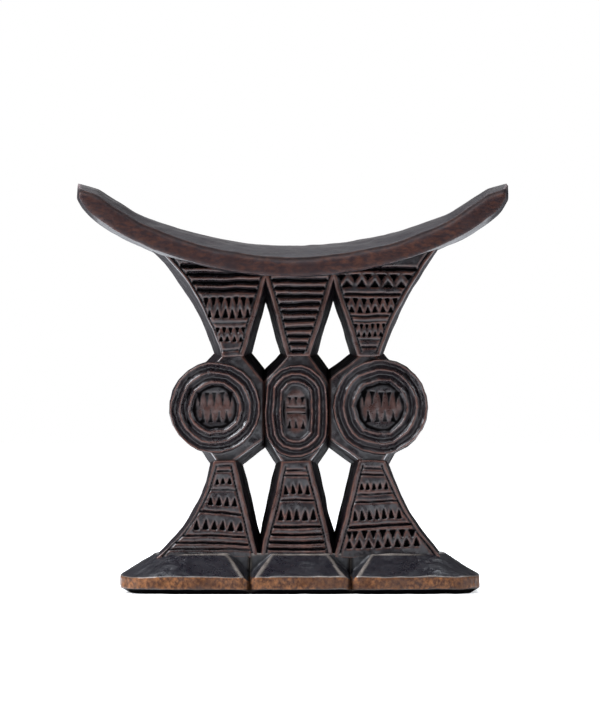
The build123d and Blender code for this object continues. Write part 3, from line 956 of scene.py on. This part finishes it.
@dataclass
class NeckRest(Member):
    """The curved rest: crowned from front to back, with bowed and rounded tips. Sizes are in millimetres."""

    length: float = 150.8
    depth: float = 62.0
    middle_top: float = 121.4
    underside: float = REST_UNDERSIDE
    crown: float = 5.2
    tip_crown: float = 2.8
    top_radius: float = 137.0
    under_radius: float = REST_RADIUS
    end_bow: float = 1.8
    tip_start: float = 60.0
    tip_lift: float = 4.0
    swell_from: float = 55.0
    swell: float = 1.6
    pared_from: float = 68.5
    pared_slope: float = 14.0
    edge_round: float = 2.6
    stations: int = 84
    rows: int = 16
    gloom: float = 0.0

    def model(self) -> Piece:
        """Divides a slab from above, then bends, crowns and bows it and rounds its edges."""
        bpy.ops.object.select_all(action="DESELECT")
        bpy.ops.mesh.primitive_grid_add(x_subdivisions=self.stations, y_subdivisions=self.rows, size=1)
        piece = bpy.context.object
        piece.scale = (self.length * MM, self.depth * MM, 1)
        piece.location = (0, 0, self.underside * MM)
        settle(piece)
        with editing(piece):
            bpy.ops.mesh.extrude_region_move(
                TRANSFORM_OT_translate={"value": (0, 0, (self.middle_top - self.underside) * MM)})
        for row in range(self.rows + 1):
            self._crown(piece, (row / self.rows * 2 - 1) * self.depth / 2)
        for station in range(self.stations + 1):
            self._bend(piece, (station / self.stations * 2 - 1) * self.length / 2)
        for row in range(self.rows + 1):
            self._bow(piece, (row / self.rows * 2 - 1) * self.depth / 2)
        self._round_edges(piece)
        return piece

    def _level(self) -> float:
        """Height that parts the top's points from the underside's before bending, in metres."""
        return (self.underside + (self.middle_top - self.underside - self.crown) / 2) * MM

    def _crown(self, piece: Piece, y: float) -> None:
        """Lowers one row of the top."""
        level = self._level()
        with editing(piece, everything=False) as mesh:
            choose(mesh, lambda vertex: vertex.co.z > level and abs(vertex.co.y - y * MM) < 0.1 * MM)
            side = y / (self.depth / 2)
            bpy.ops.transform.translate(value=(0, 0, -self.crown * side**2 * MM))

    def _bend(self, piece: Piece, x: float) -> None:
        """Lifts one station of the top and of the underside, and flattens the crown towards the tips."""
        level = self._level()
        far = abs(x)
        under = self.under_radius - math.sqrt(self.under_radius**2 - far**2)
        if far > self.tip_start:
            share = min((far - self.tip_start) / (self.length / 2 - self.tip_start), 1.0)
            under += self.tip_lift * (1 - math.sqrt(1 - share**2))
        arc = min(far, self.pared_from)
        rise = self.top_radius - math.sqrt(self.top_radius**2 - arc**2)
        rise += (far - arc) * math.tan(math.radians(self.pared_slope))
        rise += self.swell * max(arc - self.swell_from, 0) / (self.pared_from - self.swell_from)
        flat = 1 + (self.tip_crown / self.crown - 1) * (far / (self.length / 2)) ** 2
        with editing(piece, everything=False) as mesh:
            column = [vertex for vertex in mesh.verts if abs(vertex.co.x - x * MM) < 0.1 * MM]
            top = [vertex for vertex in column if vertex.co.z > level]
            bottom = [vertex for vertex in column if vertex.co.z <= level]
            for vertex in top:
                vertex.select = True
            mesh.select_flush_mode()
            bpy.ops.transform.resize(value=(1, 1, flat), center_override=(0, 0, self.middle_top * MM))
            bpy.ops.transform.translate(value=(0, 0, rise * MM))
            bpy.ops.mesh.select_all(action="DESELECT")
            for vertex in bottom:
                vertex.select = True
            mesh.select_flush_mode()
            bpy.ops.transform.translate(value=(0, 0, under * MM))

    def _bow(self, piece: Piece, y: float) -> None:
        """Draws one row in, so that the ends bow outwards when seen from above."""
        with editing(piece, everything=False) as mesh:
            choose(mesh, lambda vertex: abs(vertex.co.y - y * MM) < 0.1 * MM)
            side = y / (self.depth / 2)
            shrink = 1 - self.end_bow / (self.length / 2) * side**2
            bpy.ops.transform.resize(value=(shrink, 1, 1), center_override=(0, 0, 0))

    def _round_edges(self, piece: Piece) -> None:
        """Rounds the long upper edges."""
        with editing(piece, everything=False) as mesh:
            bpy.ops.mesh.select_mode(type="EDGE")
            edge_y = self.depth / 2 * MM
            for edge in mesh.edges:
                ends = [vertex.co for vertex in edge.verts]
                outer = all(abs(abs(co.y) - edge_y) < 0.1 * MM for co in ends)
                edge.select = outer and any(face.normal.z > 0.5 for face in edge.link_faces) and any(
                    abs(face.normal.y) > 0.5 for face in edge.link_faces)
            bpy.ops.mesh.bevel(offset=self.edge_round * MM, segments=4, profile=0.5)

    def bare_parts(self, relief: Relief) -> np.ndarray:
        """The front and back faces are rubbed bare."""
        facing = np.abs(relief.normals[:, 1])
        return relief.spread(np.clip((facing - 0.35) * 4, 0, 1), 3)

    def painted_shade_parts(self, relief: Relief) -> np.ndarray:
        """A painted dark line runs along the long upper edges, where the top turns over: painted shade where
        the rounded edge reflects nothing.
        """
        facing = np.abs(relief.normals[:, 1])
        turning = np.clip(1 - np.abs(facing - 0.66) / 0.3, 0, 1) * (relief.normals[:, 2] > 0.2)
        return relief.spread(turning, 2) * 0.95

    def dull_parts(self, relief: Relief) -> np.ndarray:
        """Each tip is dull under its end."""
        ends = np.clip((np.abs(relief.points[:, 0]) / MM - 67) / 3, 0, 1)
        return ends * np.clip((0.9 - np.abs(relief.normals[:, 1])) * 4, 0, 1) * (relief.normals[:, 2] < 0.3)


# ---- foot ------------------------------------------------------------------------------------------


@dataclass
class FootBlank:
    """The whole foot before it is parted: a rim, a slope up to the panels, and clefts. In millimetres."""

    left: float
    right: float
    top: float
    clefts: tuple[float, ...]
    half_depth: float = 31.5
    rim: float = 6.0
    under_lift: float = 1.9
    under_reach: float = 3.2
    corner: float = 17.0
    slope_run: float = 12.0
    top_half_depth: float = 18.6
    panel_half_depth: float = 17.0
    cleft_half_width: float = 7.9
    cleft_inner: float = 6.8
    rim_half_width: float = 2.2
    cleft_outer: float = 3.9

    def build(self) -> Piece:
        """Models the blank.

        Returns:
            the blank, to be copied and parted into lobes.
        """
        middle = (self.left + self.right) / 2
        low = Vector((self.left, -self.half_depth, 0)) * MM
        piece = block(low, Vector((self.right, self.half_depth, self.rim)) * MM, "foot_blank")
        with editing(piece, everything=False) as mesh:
            bpy.ops.mesh.select_mode(type="EDGE")
            for edge in mesh.edges:
                edge.select = abs(edge.verts[0].co.z - edge.verts[1].co.z) > 1 * MM
            bpy.ops.mesh.bevel(offset=self.corner * MM, segments=7, profile=0.5)
        width = self.right - self.left
        with editing(piece, everything=False) as mesh:
            bpy.ops.mesh.select_mode(type="FACE")
            for face in mesh.faces:
                face.select = face.normal.z > 0.9
            bpy.ops.mesh.extrude_region_move(
                TRANSFORM_OT_translate={"value": (0, 0, (self.top - self.rim) * MM)})
            narrow = (1 - 2 * self.slope_run / width, self.top_half_depth / self.half_depth, 1)
            bpy.ops.transform.resize(value=narrow, center_override=(middle * MM, 0, self.top * MM))
        with editing(piece) as mesh:
            bpy.ops.mesh.bisect(plane_co=(0, 0, self.under_lift * MM), plane_no=(0, 0, 1))
            choose(mesh, lambda vertex: vertex.co.z < 0.1 * MM)
            narrow = (1 - 2 * self.under_reach / width, 1 - self.under_reach / self.half_depth, 1)
            bpy.ops.transform.resize(value=narrow, center_override=(middle * MM, 0, 0))
        knife = Knife(41)
        for x in self.clefts:
            knife.cuts.append(self._cleft(x))
            knife.groove((x, -1), (x, self.rim + 1), -self.half_depth, 5.4, 1.5)
        cut_away(piece, knife.cutter())
        knife.put_away()
        return piece

    def _cleft(self, x: float) -> Piece:
        """A wedge that widens and deepens from the rim to the panels, with its sides in millimetres."""
        over = 2 * self.top
        outer_y, inner_y = -self.half_depth - 1, -self.panel_half_depth
        wedge = block(Vector((x - 1, outer_y, 0)), Vector((x + 1, inner_y, over)), "cleft")
        ends = ((outer_y, self.rim_half_width, self.rim, self.cleft_outer),
                (inner_y, self.cleft_half_width, self.top, self.cleft_inner))
        for y, half, level, bottom in ends:
            spread = half * (over - bottom) / (level - bottom)
            with editing(wedge, everything=False) as mesh:
                end = [vertex for vertex in mesh.verts if abs(vertex.co.y - y) < 0.1]
                for vertex in end:
                    vertex.select = vertex.co.z > 1
                mesh.select_flush_mode()
                bpy.ops.transform.resize(value=(spread, 1, 1), center_override=(x, 0, 0))
                bpy.ops.mesh.select_all(action="DESELECT")
                for vertex in end:
                    vertex.select = vertex.co.z < 1
                mesh.select_flush_mode()
                bpy.ops.mesh.merge(type="CENTER")
                bpy.ops.transform.translate(value=(0, 0, bottom))
        return wedge


@dataclass
class FootLobe(Member):
    """One lobe of the foot, parted from the blank."""

    blank: Piece | None = None
    left: float | None = None
    right: float | None = None
    rim: float = 6.0
    under: float = 1.9
    top: float = 13.6
    half_depth: float = 31.5
    panel_half_depth: float = 17.0
    clefts: tuple[float, ...] = ()
    mouth: float = 2.2
    spread: float = 7.9
    gloom: float = 0.3

    def model(self) -> Piece:
        """Copies the blank and parts the lobe from it."""
        piece = copied(self.blank, Matrix.Identity(4))
        if self.left is not None:
            sliced(piece, Vector((self.left, 0, 0)) * MM, Vector((-1, 0, 0)))
        if self.right is not None:
            sliced(piece, Vector((self.right, 0, 0)) * MM, Vector((1, 0, 0)))
        return piece

    def bare_parts(self, relief: Relief) -> np.ndarray:
        """The upright rim is rubbed bare, down to where it turns under."""
        upright = np.clip((0.80 - np.abs(relief.normals[:, 2])) * 4, 0, 1)
        height = relief.points[:, 2] / MM
        low = np.clip((self.rim * 1.04 - height) / 0.5, 0, 1)
        low *= np.clip((height - self.under * 0.8) / 0.4, 0, 1)
        return relief.spread(upright * low, 3)

    def dull_parts(self, relief: Relief) -> np.ndarray:
        """The foot is waxed all over."""
        return np.zeros(len(relief.degree))

    def painted_shade_parts(self, relief: Relief) -> np.ndarray:
        """Painted shade: the rim is painted black where it goes under, and so are the bottoms of the clefts.
        """
        height = relief.points[:, 2] / MM
        dark = np.clip((self.under - height) / 0.3, 0, 1) * 0.95
        for cleft in self.clefts:
            near = np.clip((1.3 - np.abs(relief.points[:, 0] / MM - cleft)) / 0.7, 0, 1)
            dark = np.maximum(dark, near * 0.8)
        return dark

    def rubbed_parts(self, relief: Relief) -> np.ndarray:
        """The edges of the clefts and the front and back edges of the flat top are pale: partly wear, partly
        a painted highlight.
        """
        points = np.abs(relief.points / MM)
        points[:, 0] = relief.points[:, 0] / MM
        shelf = np.clip((points[:, 2] - self.top + 0.5) / 0.25, 0, 1)
        wear_and_highlight = shelf * np.clip((points[:, 1] - self.panel_half_depth - 0.7) / 0.3, 0, 1)
        for cleft in self.clefts:
            for sign in (-1, 1):
                start = np.array((cleft + sign * self.mouth, self.half_depth, self.rim))
                end = np.array((cleft + sign * self.spread, self.panel_half_depth, self.top))
                run = end - start
                share = np.clip((points - start) @ run / (run @ run), 0, 1)
                away = np.linalg.norm(points - start - share[:, None] * run, axis=1)
                wear_and_highlight = np.maximum(wear_and_highlight, np.clip((1.15 - away) / 0.5, 0, 1))
        return wear_and_highlight * 0.9


# ---- room, light and camera ------------------------------------------------------------------------


@dataclass(frozen=True)
class Softbox:
    """A soft studio lamp. Lengths are in metres."""

    name: str
    place: tuple[float, float, float]
    size: float
    watts: float
    tint: tuple[float, float, float] = (0.90, 0.94, 1.0)

    def hang(self, target: Vector) -> None:
        """Hangs the lamp and aims it at a target."""
        lamp = bpy.data.lights.new(self.name, "AREA")
        lamp.shape = "SQUARE"
        lamp.size = self.size
        lamp.energy = self.watts
        lamp.color = self.tint
        holder = bpy.data.objects.new(self.name, lamp)
        holder.location = self.place
        holder.rotation_euler = (target - Vector(self.place)).to_track_quat("-Z", "Y").to_euler()
        bpy.context.scene.collection.objects.link(holder)


@dataclass(frozen=True)
class Studio:
    """A white room with soft lamps, and the camera in front of the object."""

    lamps: tuple[Softbox, ...]
    camera_place: tuple[float, float, float] = (2.5, -1800.0, 67.2)
    camera_pitch: float = 0.4475
    lens: float = 256.05
    floor_size: float = 12.0
    sky: float = 0.08
    backdrop: float = 1.0
    floor_glow: float = 0.45

    def build(self) -> None:
        """Lays the floor, hangs the lamps and sets the camera."""
        middle = (Vector(CAD_BOX[0]) + Vector(CAD_BOX[1])) / 2
        bpy.ops.object.select_all(action="DESELECT")
        bpy.ops.mesh.primitive_plane_add(size=self.floor_size, location=(0, 0, 0))
        floor = bpy.context.object
        floor.name = "floor"
        graph = Graph(bpy.data.materials.new("white_paper"))
        place = graph.node("ShaderNodeTexCoord").outputs["Object"]
        away = graph.node("ShaderNodeVectorMath", {0: place}, operation="LENGTH").outputs["Value"]
        glow = graph.ranged(away, 0.10, 0.9, self.floor_glow, 1.0)
        sight = graph.node("ShaderNodeLightPath").outputs["Is Camera Ray"]
        behind = graph.ranged(graph.straight_behind(place, 4.0), 0.1, 0.9)
        glow = graph.maths("MAXIMUM", graph.maths("MULTIPLY", glow, sight), behind)
        tone = graph.mixed(graph.noise(place, 30.0), (0.93, 0.93, 0.94), (0.96, 0.96, 0.97))
        shader = graph.node("ShaderNodeBsdfPrincipled", {
            "Base Color": tone, "Roughness": 0.9, "Specular IOR Level": 0.1,
            "Emission Color": (1, 1, 1, 1), "Emission Strength": glow})
        graph.node("ShaderNodeOutputMaterial", {"Surface": shader.outputs[0]})
        floor.data.materials.append(graph.owner)
        for lamp in self.lamps:
            lamp.hang(middle)
        self._light_room()
        camera = bpy.data.cameras.new("camera")
        camera.lens = self.lens
        holder = bpy.data.objects.new("camera", camera)
        holder.location = Vector(self.camera_place) * MM
        holder.rotation_euler = (math.radians(90 + self.camera_pitch), 0, 0)
        bpy.context.scene.collection.objects.link(holder)
        bpy.context.scene.camera = holder
        bpy.context.scene.view_settings.view_transform = "Standard"

    def _light_room(self) -> None:
        """Makes the room white to the camera, dim to the lamps' reflections, and bright straight behind."""
        graph = Graph(bpy.data.worlds.new("studio"))
        place = graph.node("ShaderNodeTexCoord").outputs["Generated"]
        behind = graph.ranged(graph.straight_behind(place, 2.0), 0.66, 1.0, self.sky, 1.0)
        sight = graph.node("ShaderNodeLightPath").outputs["Is Camera Ray"]
        background = graph.node("ShaderNodeBackground", {
            "Color": (1, 1, 1, 1), "Strength": graph.blended(sight, behind, self.backdrop)})
        graph.node("ShaderNodeOutputWorld", {"Surface": background.outputs[0]})
        bpy.context.scene.world = graph.owner


# ---- the whole headrest ----------------------------------------------------------------------------

G, T, Z = Stroke.GROOVE, Stroke.TEETH, Stroke.ZIGZAG


@dataclass
class Headrest:
    """All the members, with the levels at which they meet read from the frame."""

    carved: bpy.types.Material
    rest: bpy.types.Material
    foot: bpy.types.Material

    def __post_init__(self) -> None:
        """Reads the levels of the two waists, the foot's top and the rest's underside."""
        disc_low, disc_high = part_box("left_disc")
        self.lower_waist = disc_low[2] / MM
        self.upper_waist = disc_high[2] / MM
        self.foot_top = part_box("left_foot_lobe")[1][2] / MM
        self.rest_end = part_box("left_upper_panel")[1][2] / MM

    def upper_panels(self) -> list[CarvedPanel]:
        """The three panels under the rest."""
        shared = {"slot": "carved_wood", "finish": self.carved,
                  "neck": self.upper_waist, "end": self.rest_end}
        left = CarvedPanel(
            "left_upper_panel", left=Side(-27.6, -49.4, 2.6, 1.2, 4.2), right=Side(-14.7, -4.2), seed=11,
            rows=(Row(G, 112.9, 115.1), Row(G, 110.0, 112.3), Row(G, 107.3, 109.5), Row(G, 104.5, 106.8),
                  Row(Z, 95.8, 103.2, 6), Row(G, 93.9, 94.7, depth=0.8), Row(Z, 87.5, 92.9, 4, depth=1.3),
                  Row(G, 84.0, 84.9, depth=0.9)), **shared)
        centre = CarvedPanel(
            "centre_upper_panel", left=Side(-4.5, -14.4), right=Side(8.6, 19.6), seed=12,
            rows=tuple(Row(G, z - 1.0, z + 1.0, depth=1.2)
                       for z in (111.9, 109.0, 106.2, 103.4, 100.6, 98.0, 95.0, 92.3, 89.5, 86.7, 83.9)),
            **shared)
        right = CarvedPanel(
            "right_upper_panel", left=Side(19.9, 8.9), right=Side(32.0, 50.8, 1.7, 1.1, 1.6), seed=13,
            rows=(Row(G, 111.9, 113.9), Row(Z, 106.3, 111.0, 5), Row(G, 103.4, 104.7, depth=1.0),
                  Row(Z, 97.5, 102.9, 6), Row(G, 95.9, 97.0, depth=1.0), Row(G, 94.2, 94.9, depth=0.8),
                  Row(Z, 89.0, 93.8, 5, depth=1.3), Row(G, 87.7, 88.5, depth=0.8),
                  Row(G, 84.9, 86.0, depth=0.9)), **shared)
        return [left, centre, right]

    def lower_panels(self) -> list[CarvedPanel]:
        """The three panels on the foot."""
        shared = {"slot": "carved_wood", "finish": self.carved,
                  "neck": self.lower_waist, "end": self.foot_top}
        left = CarvedPanel(
            "left_lower_panel", left=Side(-29.1, -47.6, 3.2, 0.9, 1.5), right=Side(-17.5, -10.0), seed=21,
            rows=(Row(G, 43.8, 44.8, depth=0.9), Row(G, 41.6, 42.6, depth=1.0), Row(T, 37.6, 41.2, 3),
                  Row(G, 35.5, 36.4, depth=1.0), Row(T, 30.0, 34.8, 4, -3.0),
                  Row(G, 27.2, 28.4, tilt=-5.0, depth=1.2), Row(T, 21.5, 26.6, 6, -3.5),
                  Row(G, 19.0, 20.0, tilt=-3.0, depth=1.2), Row(G, 16.5, 17.6, tilt=-3.0, depth=1.2),
                  Row(G, 14.6, 15.5, tilt=-1.0, depth=1.0)),
            **shared)
        centre = CarvedPanel(
            "centre_lower_panel", left=Side(-6.2, -13.2), right=Side(8.8, 16.2), seed=22,
            rows=(Row(G, 42.1, 43.1, depth=0.9), Row(G, 40.2, 41.2, depth=0.9), Row(T, 34.2, 39.4, 4),
                  Row(G, 31.9, 32.9, depth=1.1), Row(T, 25.1, 31.1, 5), Row(G, 22.3, 23.6),
                  Row(G, 19.6, 20.8), Row(G, 16.8, 18.2), Row(G, 14.6, 15.8)), **shared)
        right = CarvedPanel(
            "right_lower_panel", left=Side(20.4, 12.6), right=Side(33.8, 51.8, 1.8, 1.0, 1.2), seed=23,
            rows=(Row(G, 42.7, 43.6, depth=0.9), Row(G, 40.7, 41.7, depth=1.0), Row(T, 35.8, 40.2, 5, 3.0),
                  Row(G, 34.0, 34.9, tilt=3.5, depth=1.0), Row(G, 31.2, 32.2, tilt=3.5, depth=1.1),
                  Row(T, 25.2, 30.7, 7, 4.0), Row(G, 22.5, 23.8, tilt=4.0), Row(Z, 15.6, 21.9, 8, 2.0)),
            **shared)
        return [left, centre, right]

    def discs(self) -> list[RingedDisc]:
        """The two round discs and the oval between them."""
        top, bottom = self.upper_waist, self.lower_waist
        notch = 5.6
        shared = {"slot": "carved_wood", "finish": self.carved}
        left_joint, right_joint = -9.9, 12.6
        left = RingedDisc(
            "left_disc", centre=(-27.1, 64.5), radius=15.7, seed=31,
            plate=((-14.7, top), (-27.6, top), (-36.0, 74.4), (-36.0, 54.6), (-29.1, bottom), (-17.5, bottom),
                   (left_joint, bottom + notch), (left_joint, top - notch)),
            rows=((Stroke.LOZENGES, 5.6, -0.6, 5, 6.6), (Stroke.LOZENGES, -5.6, 0.2, 4, 5.3)), **shared)
        centre = RingedDisc(
            "centre_oval", centre=(1.2, 63.3), radius=10.8, stretch=5.2, facets=18, seed=32,
            ring_slope=1.15, ring_land=0.25, hub_step=0.8,
            plate=((8.6, top), (-4.5, top), (left_joint, top - notch), (left_joint, bottom + notch),
                   (-6.2, bottom), (8.8, bottom), (right_joint, bottom + notch), (right_joint, top - notch)),
            rows=((Stroke.LOZENGES, 5.4, 2.2, 3, 3.2), (G, 0.9, 1.7, 1, 3.3), (G, -1.1, -0.3, 1, 3.3),
                  (Stroke.LOZENGES, -6.4, -2.2, 3, 3.4)), **shared)
        right = RingedDisc(
            "right_disc", centre=(30.4, 64.7), radius=16.4, facets=26, seed=33,
            plate=((32.0, top), (19.9, top), (right_joint, top - notch), (right_joint, bottom + notch),
                   (20.4, bottom), (33.8, bottom), (40.0, 54.6), (40.0, 74.4)),
            rows=((Stroke.LOZENGES, 5.6, -0.6, 5, 7.2), (Stroke.LOZENGES, -5.6, 0.2, 4, 5.8)), **shared)
        return [left, centre, right]

    def foot_lobes(self) -> list[FootLobe]:
        """The three lobes, parted from one blank on the planes that the frame gives."""
        left_box, right_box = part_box("left_foot_lobe"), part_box("right_foot_lobe")
        clefts = (left_box[1][0] / MM, right_box[0][0] / MM)
        blank = FootBlank(left_box[0][0] / MM, right_box[1][0] / MM, self.foot_top, clefts).build()
        shared = {"slot": "foot_wood", "finish": self.foot, "blank": blank, "voxel": 0.40,
                  "ease": Ease.WORN, "waver": 1.1, "clefts": clefts}
        return [FootLobe("left_foot_lobe", right=clefts[0], **shared),
                FootLobe("centre_foot_lobe", left=clefts[0], right=clefts[1], **shared),
                FootLobe("right_foot_lobe", left=clefts[1], **shared)]

    def build(self) -> None:
        """Builds every member."""
        members: list[Member] = [NeckRest("neck_rest", "rest_wood", self.rest, voxel=0.60, ease=Ease.WORN)]
        members += self.upper_panels() + self.discs() + self.lower_panels() + self.foot_lobes()
        for member in members:
            member.build()
        bpy.data.objects.remove(members[-1].blank)


def main() -> None:
    """Builds the headrest, then the studio round it."""
    logging.basicConfig(level=logging.INFO, format="%(message)s")
    carved = Patina("patinated_wood").material()
    # The rest's pale ridge colour is partly wear and partly a painted highlight along its edges.
    rest = Patina("rest_wood", wear=0.8, wear_and_highlight=(0.15, 0.11, 0.11), bare=(0.017, 0.0085, 0.0095),
                  bare_light=(0.062, 0.023, 0.014), gloss=0.40, bare_gloss=0.46, lumps=0.25, sheen=0.36,
                  streaks=(420.0, 900.0, 900.0)).material()
    # The foot's pale ridge colour is partly wear and partly a painted highlight on its edges.
    foot = Patina("foot_wood", dark=(0.0025, 0.0025, 0.0050), brown=(0.0075, 0.0060, 0.0085),
                  wear_and_highlight=(0.17, 0.145, 0.125), bare=(0.045, 0.016, 0.0065), sheen=0.50,
                  bare_light=(0.25, 0.098, 0.032), bare_gloss=0.40, mottle=0.09, lumps=0.40,
                  streaks=(800.0, 900.0, 700.0)).material()
    Headrest(carved, rest, foot).build()
    Studio(lamps=(
        Softbox("top_softbox", (0.0, 0.05, 0.85), 0.7, 11.0),
        Softbox("upper_left_softbox", (-0.52, -0.12, 0.58), 0.42, 14.0),
        Softbox("front_softbox", (-0.40, -0.75, 0.70), 0.5, 2.2),
        Softbox("right_softbox", (0.70, -0.10, 0.40), 0.35, 2.5),
    )).build()


if __name__ == "__main__":
    main()
